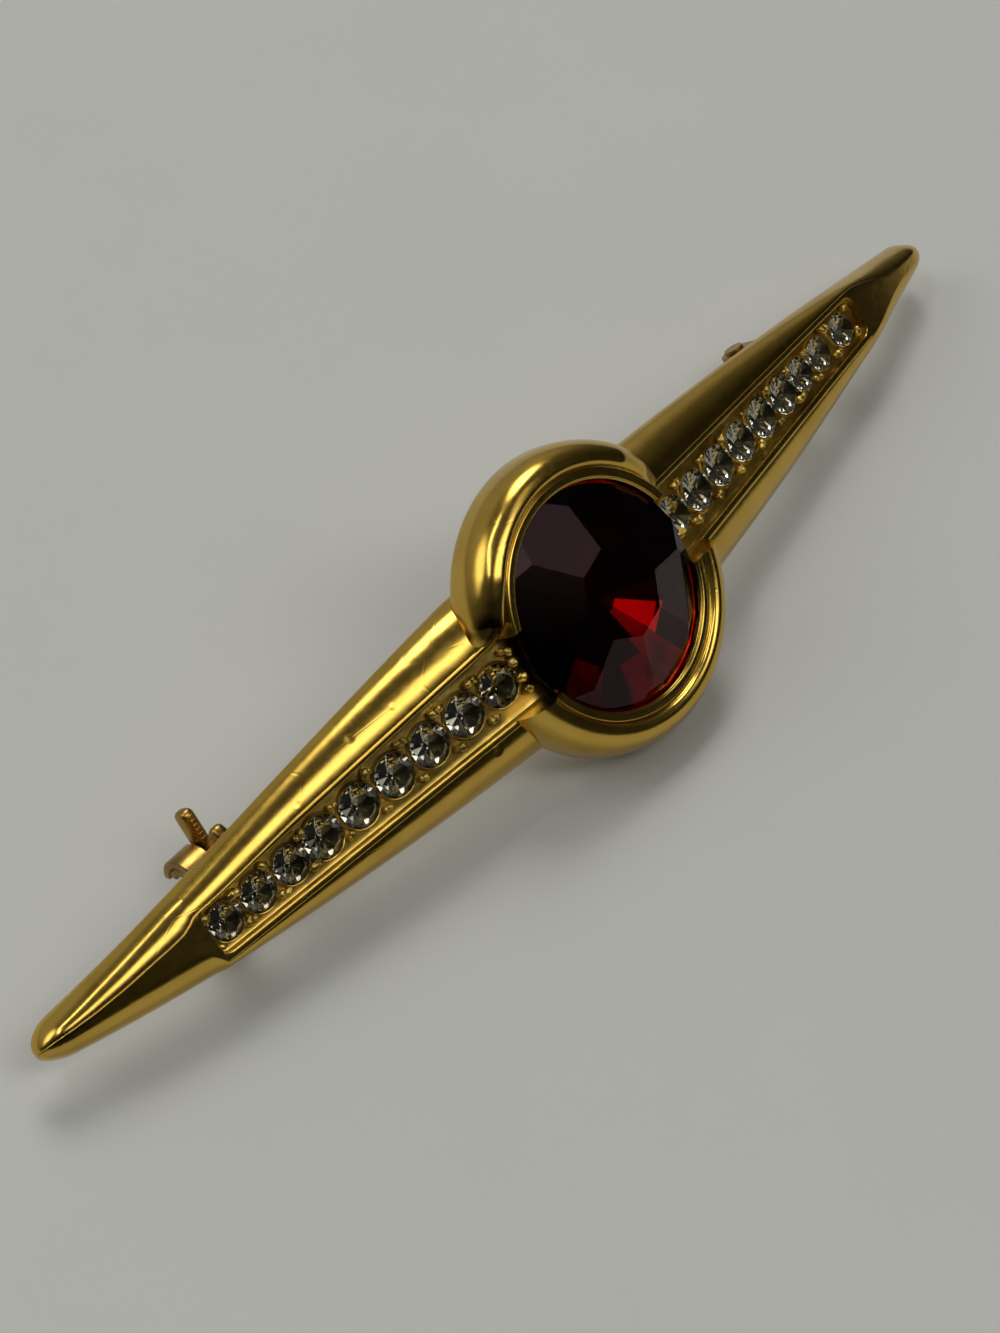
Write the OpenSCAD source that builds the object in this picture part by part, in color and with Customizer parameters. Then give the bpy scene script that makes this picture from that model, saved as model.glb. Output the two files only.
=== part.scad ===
// Bar brooch: a gold-plated casting with two tapering arms, a domed collar round one large
// red stone, a channel of small clear stones along each arm, and a pin and safety catch behind.
// It is drawn face up, in millimetres, with the collar's inner lip at z = 0 and the bar along X.
// At the end it is leaned over, the way it lies on a table: on the collar's edge, the catch
// and the hinge.

/* [Bar] */
// Length of the near arm, from the middle of the large stone to the tip by the catch
near_len = 35.3; // [34:0.1:38]
// Length of the far arm, to the tip by the hinge
far_len = 36; // [34:0.1:38]
// Half of the bar's width where it would cross the middle
root_half_w = 4.8; // [4.4:0.05:5]
// Length at which the arm's curved taper would reach no width
taper_len = 40.5; // [40:0.5:46]
// Curve of the taper: 1 is straight, more is fuller near the collar
taper_power = 1.5; // [1.2:0.1:1.8]
// Height of the arm's top below the collar's lip, at the middle
top_drop = 0.37; // [0.2:0.01:0.6]
// Angle at which the arms sweep back towards the wearer
sweep_deg = 8.8; // [8.5:0.05:9.2]
// Thinnest part of the arm, top to back
thin_t = 1.5; // [1.45:0.05:1.7]
// Distance along the arm of that thinnest part
thin_at = 23; // [20:0.5:26]
// Extra thickness at the middle of the bar
root_extra_t = 1.5; // [1:0.05:1.7]
// Extra thickness at the tip
tip_extra_t = 0.35; // [0.2:0.05:0.6]
// How far the top bends down towards the back at the tip
tip_droop = 0.7; // [0:0.1:1.2]
// Distance along the arm where that bend starts
droop_from = 27; // [26:0.1:30]
// How far each tip bends sideways, the near one to the upper side and the far one to the lower
tip_bend = 0.2; // [0:0.05:0.25]
// Length of the rounding at the tip
tip_round = 1.5; // [1:0.1:2]

/* [Stone channel] */
// Half of the channel's width where it would cross the middle
channel_root_half_w = 2.1; // [2.05:0.01:2.2]
// Half of the channel's width at its end
channel_end_half_w = 1.2; // [1.2:0.01:1.3]
// Distance of the channel's end along the near arm, the one with the catch
near_channel_end = 26.2; // [26.1:0.1:26.6]
// Distance of the channel's end along the far arm
far_channel_end = 27.3; // [26.9:0.1:27.4]
// Rounding of the channel's end corners
channel_corner = 0.5; // [0.3:0.05:0.6]
// Angle between the channels and the bar's outline, seen from above
channel_turn_deg = 0.55; // [0:0.05:0.6]
// Depth of the channel below the rails
channel_depth = 0.5; // [0.45:0.05:0.55]
// Width of the flat rail on each side of the channel
rail_w = 0.32; // [0.25:0.01:0.35]

/* [Collar] */
// Outer radius of the collar
collar_r = 7.92; // [7.7:0.02:8.2]
// Height of the dome's crest above the lip
crest_h = 0.2; // [0.1:0.05:0.4]
// Radius at which the dome has its crest
crest_r = 6.75; // [6.6:0.05:6.9]
// Height of the dome above its straight outer wall
dome_h = 1.9; // [1.5:0.1:2.1]
// Depth of the collar's back below the lip
collar_depth = 3.1; // [3:0.1:3.6]
// Rounding of the collar's back edge
edge_round = 0.8; // [0.6:0.1:1]
// Radius of the opening inside the lip
lip_r = 5.75; // [5.7:0.01:5.8]
// Width of the lip's bead
lip_w = 0.5; // [0.4:0.05:0.55]

/* [Large stone] */
// Radius of the large stone
big_r = 5.95; // [5.9:0.01:5.97]
// Radius of its table
big_table_r = 2.42; // [2:0.1:3]
// Height of the crown above the girdle
big_crown = 1.65; // [1.4:0.05:1.9]
// Depth of the foiled back below the girdle
big_back = 1.7; // [1.4:0.05:1.8]
// Direction of the middle of one broad crown facet
big_turn_deg = 105; // [90:1:134]

/* [Small stones] */
// Number of larger small stones in each arm
large_count = 6; // [4:1:6]
// Number of smaller small stones after them
small_count = 3; // [1:1:3]
// Distance of the first small stone from the middle
first_at = 7.22; // [7.2:0.01:7.3]
// Pitch of the larger small stones
large_pitch = 2.335; // [2.3:0.005:2.34]
// Pitch of the smaller small stones
small_pitch = 2.05; // [2:0.01:2.1]
// Extra distance of the far arm's last small stone
far_last_out = 0.55; // [0:0.05:0.6]
// Diameter of the larger small stones
large_d = 2.2; // [2.1:0.01:2.24]
// Diameter of the smaller small stones
small_d = 1.92; // [1.8:0.01:1.95]

/* [Pin and catch] */
// Distance of the catch from the middle
catch_at = 22.6; // [21:0.1:24]
// Distance of the hinge from the middle
hinge_at = 22.6; // [21:0.1:23]
// Distance of the pin above the bar's centre line
pin_y = 0.7; // [0.5:0.1:1]
// Depth of the pin's line below the lip
pin_depth = 9.7; // [9.4:0.1:10]
// Radius of the pin
pin_r = 0.4; // [0.35:0.01:0.42]
// Outer radius of the catch
catch_r = 1.4; // [1.35:0.05:1.6]
// Length of the catch along the pin
catch_len = 1.5; // [1.2:0.1:1.8]
// Width of the slot that the pin enters by
slot_w = 1; // [0.95:0.01:1.05]
// Distance of the thumb prongs' ends from the pin's line
prong_reach = 3; // [2.6:0.1:3.2]
// Angle between each prong and the middle of the fork
prong_deg = 26; // [22:1:28]
// Direction of the fork, measured from the bar's upper side towards its face
fork_deg = 31; // [28:1:40]

/* [Hidden] */

// Every loose piece keeps this gap from the metal that holds it
gap = 0.03;
round_fn = 96;
small_fn = 48;
// The sections along an arm, and the points along the curve of its flank
arm_steps = 11;
tip_steps = 5;
flank_steps = 8;
// The channel's half width, the arm's top and its back at a distance s from the middle
channel_slope = (channel_root_half_w - channel_end_half_w) / near_channel_end;
function channel_half(s) = channel_root_half_w - channel_slope * s;
function channel_mid(x) = tan(channel_turn_deg) * x;
function droop(s) = tip_droop * pow(max(0, s - droop_from) / (35 - droop_from), 2);
function bend(x) = -sign(x) * tip_bend * pow(max(0, abs(x) - 22) / 12, 2);
function floor_z(s) = -top_drop - channel_depth - tan(sweep_deg) * s;
function top_z(s) = -top_drop - tan(sweep_deg) * s - droop(s);
// The arm has its full thickness where it leaves the collar, and keeps it inside
full_at = 7;
function thick(s) = s < thin_at
    ? thin_t + root_extra_t * pow((thin_at - max(s, full_at)) / thin_at, 2)
    : thin_t + tip_extra_t * pow((s - thin_at) / (35 - thin_at), 2);
function back_z(s) = top_z(s) - thick(s);
function half_w(s) = root_half_w * (1 - pow(s / taper_len, taper_power));
// The flat top is as wide as the rails beside the channel, and narrower past its end
flat_tip_half = 0.58;
flat_step = 1.4;
function channel_end(x) = x > 0 ? far_channel_end : near_channel_end;
function flat_half(x) = let (s = abs(x), e = channel_end(x))
    s <= e ? channel_half(s) + rail_w
    : lookup(s, [[e, channel_half(e) + rail_w], [e + 0.45 * flat_step, 1.05], [e + flat_step, flat_tip_half]]);
function flat_mid(x) = abs(x) <= channel_end(x)
    ? channel_mid(x)
    : channel_mid(x) * max(0, 1 - (abs(x) - channel_end(x)) / flat_step);
// Each tip is rounded by drawing its last sections together
function arm_len(x) = x > 0 ? far_len : near_len;
function tip_scale(x) = let (past = abs(x) - arm_len(x) + tip_round)
    past <= 0 ? 1 : sqrt(1 - pow(0.97 * past / tip_round, 2));

// Where the stones sit
stone_count = large_count + small_count;
function stone_at(i, last_out) = i <= large_count
    ? first_at + large_pitch * (i - 1)
    : first_at + large_pitch * (large_count - 1) + small_pitch * (i - large_count)
        + (i == stone_count ? last_out : 0);
function stone_r(i) = (i <= large_count ? large_d : small_d) / 2;
stone_pocket_inset = 0.1;
stone_pocket_depth = 0.72;
stone_lift = 0.22;
stone_girdle = 0.08;
stone_back_share = 0.56;
stone_crown_share = 0.36;

// The setting's seat under the lip
lip_t = 0.28;
seat_r = big_r + 0.07;
girdle_top = -0.5;
girdle_t = 0.22;
seat_z = girdle_top - girdle_t - gap;
ledge_r = big_r - 0.35;
cavity_floor = seat_z - big_back - 0.12;
cavity_end_r = 0.9;

// The catch, its lever and the hinge
sleeve_r = 0.92;
sleeve_bore = 0.5;
housing_bore = sleeve_r + 0.05;
prong_t = 0.95;
prong_corner = 0.3;
fork_len = 0.8;
fork_gap = 0.1;
post_w = 1.3;
pad_r = 1.7;
pad_t = 0.45;
ear_t = 0.55;
eye_w = 1;
ear_gap = 0.08;
ears_w = eye_w + 2 * (ear_gap + ear_t);
rivet_r = 0.38;
rivet_head_r = 0.55;
rivet_head_t = 0.16;
eye_bore = rivet_r + 0.05;
eye_r = 0.8;
pin_taper = 3;
pin_tip_r = 0.08;
pin_past_catch = 1.1;

// The lean at which the collar's edge, the catch and the hinge all meet the table
edge_y = -(collar_r - edge_round);
edge_z = -(collar_depth - edge_round);
support_dy = pin_y - edge_y;
support_dz = edge_z + pin_depth;
lean = atan2(support_dz, support_dy) + asin((catch_r - edge_round) / norm([support_dy, support_dz]));
table_d = -sin(lean) * edge_y - cos(lean) * edge_z + edge_round;
ear_low_y = pin_y - ears_w / 2;
ear_r = (table_d + sin(lean) * ear_low_y) / cos(lean) - pin_depth;
// The shift that centres the leaned brooch over the origin and stands it on z = 0
dome_base_z = crest_h - dome_h;
dome_w = collar_r - crest_r;
low_prong_deg = fork_deg - prong_deg + lean;
reach_back = pin_y * cos(lean) + pin_depth * sin(lean) + (prong_reach - prong_corner) * cos(low_prong_deg)
    + (prong_t / 2 - prong_corner) * sin(low_prong_deg) + prong_corner;
reach_front = max([for (a = [0:1:90])
    (crest_r + dome_w * cos(a)) * cos(lean) + (dome_base_z + dome_h * sin(a)) * sin(lean)]);
rest_shift = [(near_len - far_len) / 2, (reach_front - reach_back) / 2, table_d];

module gold() {
    color("goldenrod") children();
}

module laid() {
    translate(rest_shift)
        rotate([lean, 0, 0])
            children();
}

// Joins a row of closed outlines, each a list of points, into one solid
module skin(rows) {
    n = len(rows[0]);
    m = len(rows);
    sides = [for (j = [0:m - 2], i = [0:n - 1])
        let (a = j * n + i, b = j * n + (i + 1) % n)
            each [[a, b, b + n], [a, b + n, a + n]]];
    start = [[for (i = [n - 1:-1:0]) i]];
    end = [[for (i = [0:n - 1]) (m - 1) * n + i]];
    polyhedron(points = [for (r = rows) each r], faces = concat(sides, start, end), convexity = 6);
}

// One cross-section of the bar at the signed distance x, flat on top and curved at its sides
function bar_section(x) =
    let (
        s = abs(x),
        k = tip_scale(x),
        t = flat_half(x),
        c = flat_mid(x),
        w = half_w(s),
        h = thick(s),
        mid = back_z(s) + h / 2,
        left = [for (i = [0:flank_steps])
            let (a = 90 * i / flank_steps)
                [c + t + (w - t - c) * sin(a), back_z(s) + h * cos(a)]],
        right = [for (i = [flank_steps:-1:0])
            let (a = 90 * i / flank_steps)
                [c - t - (w - t + c) * sin(a), back_z(s) + h * cos(a)]]
    )
    [for (p = concat(left, right)) [x, bend(x) + k * p[0], mid + k * (p[1] - mid)]];

// The distances at which an arm has a section, for a channel that ends at e and a length of l
function arm_at(e, l) = let (flat = e + flat_step, round = l - tip_round) concat(
    [for (i = [1:arm_steps]) e * i / arm_steps],
    [e + 0.45 * flat_step, flat],
    [for (i = [1:4]) flat + (round - flat) * i / 4],
    [for (i = [1:tip_steps]) round + tip_round * sin(90 * i / tip_steps)]
);

module bar_body() {
    far = arm_at(far_channel_end, far_len);
    near = arm_at(near_channel_end, near_len);
    away = [for (i = [len(near) - 1:-1:0]) -near[i]];
    skin([for (x = concat(away, [0], far)) bar_section(x)]);
}

// Turns its children and their mirror image with the channels
module in_channels() {
    rotate([0, 0, channel_turn_deg]) {
        children(0);
        mirror([1, 0, 0])
            children(1);
    }
}

// The channel that the small stones sit in, cut through the arm and the collar up to e
module channel_cut(e) {
    start = 2;
    tall = 4;
    last = e / cos(sweep_deg) - channel_corner;
    translate([0, 0, floor_z(0)])
        rotate([0, sweep_deg, 0])
            linear_extrude(height = tall)
                hull() {
                    translate([start, -channel_half(start)])
                        square([0.01, 2 * channel_half(start)]);
                    for (side = [-1, 1])
                        translate([last, side * (channel_half(e) - channel_corner)])
                            circle(r = channel_corner, $fn = 24);
                }
}

// The slope from the collar's lip down to the arm, on the channel's upper side, moved out by d
module collar_end_cut(d) {
    slope_deg = 19;
    foot = 6.7 + d;
    translate([0, 1.8, 0])
        rotate([slope_deg, 0, 0])
            translate([0, 4, 0])
                rotate([90, 0, 0])
                    linear_extrude(height = 4.3)
                        polygon([
                            [foot - 2.35, top_z(foot) + 2.4],
                            [foot, top_z(foot) + 0.06],
                            [9, top_z(9) + 0.06],
                            [9, 3],
                            [foot - 2.35, 3]
                        ]);
}

// The collar's outline from its back edge over the dome to the lip's bead
module collar() {
    bead = lip_w / 2;
    rotate_extrude($fn = round_fn)
        polygon(concat(
            [[0, -collar_depth]],
            [for (a = [-90:15:0]) [-edge_y + edge_round * cos(a), edge_z + edge_round * sin(a)]],
            [for (a = [0:9:90]) [crest_r + dome_w * cos(a), dome_base_z + dome_h * sin(a)]],
            [[lip_r + lip_w + 0.06, -0.08]],
            [for (a = [0:30:180]) [lip_r + bead + bead * cos(a), -0.12 + 0.8 * bead * sin(a)]],
            [[lip_r, -lip_t], [0, -lip_t]]
        ));
}

// The hollow under the lip that the large stone sits in
module stone_seat() {
    rotate_extrude($fn = round_fn)
        polygon([
            [0, cavity_floor],
            [cavity_end_r, cavity_floor],
            [ledge_r, seat_z - 0.1],
            [ledge_r, seat_z],
            [seat_r, seat_z],
            [seat_r, -lip_t - 0.1],
            [lip_r, -lip_t],
            [lip_r, 0.05],
            [lip_r, 3],
            [0, 3]
        ]);
}

// Puts its children on the channel's floor at a distance s along an arm, square to the floor
module on_floor(s) {
    translate([s, 0, floor_z(s)])
        rotate([0, sweep_deg, 0])
            children();
}

module stone_pockets(last_out) {
    for (i = [1:stone_count])
        on_floor(stone_at(i, last_out))
            translate([0, 0, -stone_pocket_depth])
                cylinder(h = stone_pocket_depth + 0.02, r = stone_r(i) - stone_pocket_inset, $fn = small_fn);
}

// A ring round the pin's line, on a post and a soldered pad
module catch_housing() {
    base = back_z(catch_at);
    translate([-catch_at, pin_y, -pin_depth])
        difference() {
            union() {
                rotate([0, 90, 0])
                    cylinder(h = catch_len, r = catch_r, center = true, $fn = small_fn);
                translate([-catch_len / 2, -post_w / 2, catch_r - 0.35])
                    cube([catch_len, post_w, pin_depth + base + 0.5 - catch_r + 0.35]);
            }
            rotate([0, 90, 0])
                cylinder(h = catch_len + 1, r = housing_bore, center = true, $fn = small_fn);
            translate([-catch_len, -slot_w / 2, -catch_r - 1])
                cube([2 * catch_len, slot_w, catch_r + 1]);
        }
    soldered_pad(-catch_at, base);
}

module soldered_pad(x, z) {
    translate([x, 0, z])
        rotate([0, x > 0 ? sweep_deg : -sweep_deg, 0])
            translate([0, pin_y * 0.6, -pad_t])
                cylinder(h = pad_t + 0.5, r = pad_r, $fn = small_fn);
}

// Two ears with a hole for the rivet, on a soldered pad
module hinge_bracket() {
    base = back_z(hinge_at);
    difference() {
        for (side = [-1, 1])
            translate([hinge_at, pin_y + side * (eye_w / 2 + ear_gap + ear_t / 2), 0]) {
                translate([0, 0, -pin_depth])
                    rotate([90, 0, 0])
                        cylinder(h = ear_t, r = ear_r, center = true, $fn = small_fn);
                translate([-ear_r, -ear_t / 2, -pin_depth])
                    cube([2 * ear_r, ear_t, pin_depth + base + 0.5]);
            }
        translate([hinge_at, pin_y, -pin_depth])
            rotate([90, 0, 0])
                cylinder(h = 2 * ears_w, r = rivet_r + gap, center = true, $fn = small_fn);
    }
    soldered_pad(hinge_at, base);
}

module bar() {
    gold() {
        difference() {
            union() {
                bar_body();
                collar();
            }
            mirror([1, 0, 0])
                collar_end_cut(0);
            collar_end_cut(0.7);
            in_channels() {
                channel_cut(far_channel_end);
                channel_cut(near_channel_end);
            }
            in_channels() {
                stone_pockets(far_last_out);
                stone_pockets(0);
            }
            stone_seat();
        }
        catch_housing();
        hinge_bracket();
    }
}

// A faceted round stone, girdle top at z = 0: a table, eight broad crown facets with eight
// small ones between them at the girdle, and eight facets behind
module cut_stone(r, table_r, crown, girdle, back, turn) {
    half = 22.5;
    outer = 10;
    side_r = 0.83 * r;
    run = r * cos(outer) - table_r * cos(half);
    side_z = crown * (r * cos(outer) - side_r * cos(half)) / run;
    ring8 = [for (k = [0:7]) 45 * k + half + turn];
    ring16 = [for (k = [0:7]) each [45 * k - outer + turn, 45 * k + outer + turn]];
    points = concat(
        [for (a = ring8) [table_r * cos(a), table_r * sin(a), crown]],
        [for (a = ring8) [side_r * cos(a), side_r * sin(a), side_z]],
        [for (a = ring16) [r * cos(a), r * sin(a), 0]],
        [for (a = ring16) [r * cos(a), r * sin(a), -girdle]],
        [[0, 0, -girdle - back]]
    );
    crown_main = [for (k = [0:7]) [k, 8 + k, 17 + 2 * k, 16 + 2 * k, 8 + (k + 7) % 8, (k + 7) % 8]];
    crown_side = [for (k = [0:7]) [8 + k, 16 + (2 * k + 2) % 16, 17 + 2 * k]];
    band = [for (k = [0:15]) [16 + k, 16 + (k + 1) % 16, 32 + (k + 1) % 16, 32 + k]];
    behind = [for (k = [0:15]) [32 + k, 32 + (k + 1) % 16, 48]];
    table = [[for (k = [7:-1:0]) k]];
    polyhedron(points = points, faces = concat(table, crown_main, crown_side, band, behind));
}

module centre_stone() {
    color("darkred")
        translate([0, 0, girdle_top])
            cut_stone(big_r, big_table_r, big_crown, girdle_t, big_back, big_turn_deg);
}

module small_stone(i, last_out) {
    r = stone_r(i);
    color("lightgrey")
        on_floor(stone_at(i, last_out))
            translate([0, 0, stone_lift])
                cut_stone(r, 0.55 * r, stone_crown_share * r, stone_girdle, stone_back_share * r, 22.5);
}

module hinge_rivet() {
    body = ears_w + 2 * gap;
    gold()
        translate([hinge_at, pin_y, -pin_depth])
            rotate([90, 0, 0]) {
                cylinder(h = body, r = rivet_r, center = true, $fn = small_fn);
                for (side = [-1, 1])
                    translate([0, 0, side * (body + rivet_head_t) / 2])
                        cylinder(h = rivet_head_t, r = rivet_head_r, center = true, $fn = small_fn);
            }
}

module pin_stem() {
    reach = hinge_at + catch_at + pin_past_catch;
    gold()
        translate([hinge_at, pin_y, -pin_depth])
            difference() {
                union() {
                    rotate([90, 0, 0])
                        cylinder(h = eye_w, r = eye_r, center = true, $fn = small_fn);
                    rotate([0, -90, 0])
                        cylinder(h = reach - pin_taper, r = pin_r, $fn = small_fn);
                    translate([-(reach - pin_taper), 0, 0])
                        rotate([0, -90, 0])
                            cylinder(h = pin_taper, r1 = pin_r, r2 = pin_tip_r, $fn = small_fn);
                }
                rotate([90, 0, 0])
                    cylinder(h = 2 * eye_w, r = eye_bore, center = true, $fn = small_fn);
            }
}

// The slotted sleeve that turns in the catch, with a fork of two prongs for the thumb
module catch_lever() {
    fork_x = catch_len / 2 + fork_gap;
    gold()
        translate([-catch_at, pin_y, -pin_depth])
            difference() {
                union() {
                    translate([-catch_len / 2, 0, 0])
                        rotate([0, 90, 0])
                            cylinder(h = catch_len + fork_gap + fork_len, r = sleeve_r, $fn = small_fn);
                    for (side = [-1, 1])
                        translate([fork_x, 0, 0])
                            rotate([fork_deg + side * prong_deg, 0, 0])
                                prong();
                }
                rotate([0, 90, 0])
                    cylinder(h = 4 * catch_len, r = sleeve_bore, center = true, $fn = small_fn);
                translate([-2 * catch_len, -slot_w / 2, -catch_r - 1])
                    cube([5 * catch_len, slot_w, catch_r + 1]);
            }
}

module prong() {
    start = 0.45;
    rotate([0, 90, 0])
        linear_extrude(height = fork_len)
            hull() {
                translate([-prong_t / 2, start])
                    square([prong_t, 0.1]);
                for (side = [-1, 1])
                    translate([side * (prong_t / 2 - prong_corner), prong_reach - prong_corner])
                        circle(r = prong_corner, $fn = 24);
            }
}

laid() bar();
laid() centre_stone();
laid() hinge_rivet();
laid() pin_stem();
laid() catch_lever();
for (i = [1:9]) {
    laid() rotate([0, 0, channel_turn_deg]) small_stone(i, far_last_out);
    laid() rotate([0, 0, channel_turn_deg]) mirror([1, 0, 0]) small_stone(i, 0);
}
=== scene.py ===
# %% [markdown]
# # A bar brooch
# A gold-plated casting with two tapering arms, a domed collar round one large dark red stone,
# a channel of small clear stones along each arm, and a pin and a safety catch behind.
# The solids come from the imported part. This lesson gives them their looks: the casting is
# modelled again with rounded edges, and the stones keep their own facets.

# %% Load the part
import math
import random

import bmesh
import bpy
from mathutils import Matrix, Vector, noise


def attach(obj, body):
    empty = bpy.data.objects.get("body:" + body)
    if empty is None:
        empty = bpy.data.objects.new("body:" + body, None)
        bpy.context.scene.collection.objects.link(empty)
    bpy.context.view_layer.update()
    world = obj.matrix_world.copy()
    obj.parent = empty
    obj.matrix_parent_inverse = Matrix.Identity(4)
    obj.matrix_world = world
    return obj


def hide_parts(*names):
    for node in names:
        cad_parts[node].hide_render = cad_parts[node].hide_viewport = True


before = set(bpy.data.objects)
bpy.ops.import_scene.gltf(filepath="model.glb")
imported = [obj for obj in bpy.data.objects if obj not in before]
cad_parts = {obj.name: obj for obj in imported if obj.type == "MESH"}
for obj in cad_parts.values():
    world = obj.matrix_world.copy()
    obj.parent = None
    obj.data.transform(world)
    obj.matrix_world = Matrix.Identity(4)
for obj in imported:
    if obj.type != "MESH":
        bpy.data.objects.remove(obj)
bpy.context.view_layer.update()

# %% [markdown]
# ## The drawing frame
# A jeweller draws the brooch face up, in millimetres, with the bar along X and the collar's
# lip at z = 0. The real one lies tipped over on its catch, hinge and collar. So every piece is
# modelled in the drawing's frame, and one matrix lays it down and turns it into metres.

# %% Lay the drawing on the table
LEAN = math.radians(46.6142)
REST = Vector((-0.35, -2.32258, 7.5543))
LAID = Matrix.Scale(0.001, 4) @ Matrix.Translation(REST) @ Matrix.Rotation(LEAN, 4, "X")
print("the drawing's middle lies at", [round(1000 * v, 2) for v in LAID.translation], "mm")

# %% [markdown]
# ## From a drawing to a piece
# A shape is drawn as a bmesh, which the operators can spin, bevel and bridge. Three helpers
# take it on from there. One adds a placed shape to another. One cuts a shape with another, as
# the editor's Boolean modifier does. The last welds a drawing, lays it down, shades it smooth
# up to its sharp edges, and lets it ride on a body of the part.

# %% Join, cut and finish drawings
WELD = 0.0004


def to_object(bm, name):
    mesh = bpy.data.meshes.new(name)
    bm.to_mesh(mesh)
    bm.free()
    obj = bpy.data.objects.new(name, mesh)
    bpy.context.scene.collection.objects.link(obj)
    return obj


def join_in(bm, other, matrix):
    bmesh.ops.transform(other, matrix=matrix, verts=other.verts)
    mesh = bpy.data.meshes.new("joined")
    other.to_mesh(mesh)
    other.free()
    bm.from_mesh(mesh)
    bpy.data.meshes.remove(mesh)


def cut_away(bm, cutter):
    for b in (bm, cutter):
        bmesh.ops.recalc_face_normals(b, faces=b.faces)
    kept, tool = to_object(bm, "kept"), to_object(cutter, "tool")
    modifier = kept.modifiers.new("cut", "BOOLEAN")
    modifier.operation, modifier.solver, modifier.object = "DIFFERENCE", "EXACT", tool
    evaluated = kept.evaluated_get(bpy.context.evaluated_depsgraph_get())
    result = bmesh.new()
    result.from_mesh(evaluated.to_mesh())
    evaluated.to_mesh_clear()
    for obj in (kept, tool):
        mesh = obj.data
        bpy.data.objects.remove(obj)
        bpy.data.meshes.remove(mesh)
    return result


def finish_piece(bm, name, material, body="brooch", sharp_deg=38):
    bmesh.ops.remove_doubles(bm, verts=bm.verts, dist=WELD)
    bmesh.ops.recalc_face_normals(bm, faces=bm.faces)
    bmesh.ops.transform(bm, matrix=LAID, verts=bm.verts)
    for face in bm.faces:
        face.smooth = sharp_deg > 0
    obj = to_object(bm, name)
    if sharp_deg > 0:
        obj.data.set_sharp_from_angle(angle=math.radians(sharp_deg))
    obj.data.materials.append(material)
    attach(obj, body)
    print(name, len(obj.data.polygons), "faces")
    return obj


# %% [markdown]
# ## Measures of the casting
# The same curves as in the part's source: how the arm tapers, drops and thins, and how wide the
# channel is. Keeping them as functions lets every piece ask for the height under it. In them x
# runs along the whole bar, past zero into the far arm, and s is the distance from its middle.

# %% The arm's curves, in mm
# Each arm's length, and where its channel ends
NEAR_LEN, FAR_LEN, NEAR_END, FAR_END = 35.3, 36.0, 26.2, 27.3
# How steeply the arms fall away from the collar
SWEEP = math.radians(8.8)
RAIL_W, CHANNEL_DEPTH, TOP_DROP = 0.32, 0.5, 0.37
# The channels run at a small angle to the bar
TURN = math.tan(math.radians(0.55))


def channel_end(x):
    return FAR_END if x > 0 else NEAR_END


def channel_half(s):
    return 2.1 - 0.9 / NEAR_END * s


def channel_mid(x):
    return TURN * x


def top_z(s):
    return -TOP_DROP - math.tan(SWEEP) * s - 0.7 * (max(0, s - 27) / 8) ** 2


def floor_z(s):
    return -TOP_DROP - CHANNEL_DEPTH - math.tan(SWEEP) * s


def thick(s):
    if s < 23:
        return 1.5 + 1.5 * ((23 - max(s, 7)) / 23) ** 2
    return 1.5 + 0.35 * ((s - 23) / 12) ** 2


def half_w(s):
    return 4.8 * (1 - (s / 40.5) ** 1.5)


def bend(x):
    return -math.copysign(0.2, x) * (max(0, abs(x) - 22) / 12) ** 2


def swept(x):
    return Matrix.Rotation(math.copysign(SWEEP, x), 4, "Y")


def ramp(v, low, high):
    t = min(1, max(0, (v - low) / (high - low)))
    return t * t * (3 - 2 * t)


def turned(*angles):
    """The sine and cosine of each angle, given in degrees."""
    return [(math.sin(math.radians(a)), math.cos(math.radians(a))) for a in angles]


print("the arm's top, floor and half width 20 mm out", [round(f(20), 2) for f in (top_z, floor_z, half_w)])

# %% Where the small stones sit
FIRST_STONE, LARGE_STEP, SMALL_STEP, LAST_GAP = 7.22, 2.335, 2.05, 0.55
LARGE_R, SMALL_R = 1.1, 0.96


def stones(side):
    """One arm's small stones, as (distance, radius); side is 1 for the far arm."""
    row = [(FIRST_STONE + LARGE_STEP * i, LARGE_R) for i in range(6)]
    row += [(row[-1][0] + SMALL_STEP * (i + 1), SMALL_R) for i in range(3)]
    if side > 0:
        row[-1] = (row[-1][0] + LAST_GAP, SMALL_R)
    return row


print("near stones at", [round(s, 2) for s, r in stones(-1)])

# %% [markdown]
# ## Loft helper
# An arm is a row of closed cross-sections joined together, as a boat's hull is lofted over its
# ribs. Each rib is a ring of edges, and bridge_loops makes the faces between two ribs.

# %% Loft a row of rings
def ring_of(bm, points):
    verts = [bm.verts.new(p) for p in points]
    return [bm.edges.new((a, b)) for a, b in zip(verts, verts[1:] + verts[:1])]


def loft(bm, sections):
    rings = [ring_of(bm, points) for points in sections]
    for a, b in zip(rings, rings[1:]):
        bmesh.ops.bridge_loops(bm, edges=a + b)
    for end in (rings[0], rings[-1]):
        bmesh.ops.contextual_create(bm, geom=end)


# %% [markdown]
# ## The flat top of an arm
# Beside the channel the arm's top is a narrow flat rail. Past the channel the top closes into a
# flat tip, which differs between the arms. The far arm's tip tapers evenly. The near arm's tip
# keeps a narrow strip, whose edges were measured at a few distances, and rounds off below it.

# %% How wide the flat top is, and where its middle runs
# The near tip's strip, as (distance, upper edge, lower edge)
NEAR_STRIP = (
    (26.2, 1.07, -1.77), (26.4, 1.02, -1.37), (26.7, 0.85, -0.82), (27.2, 0.68, -0.64), (28.1, 0.59, -0.47),
    (29.1, 0.53, -0.35), (30.6, 0.4, -0.155), (32.4, 0.31, -0.03), (34.0, 0.3, 0.06), (36.0, 0.3, 0.1))


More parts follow.
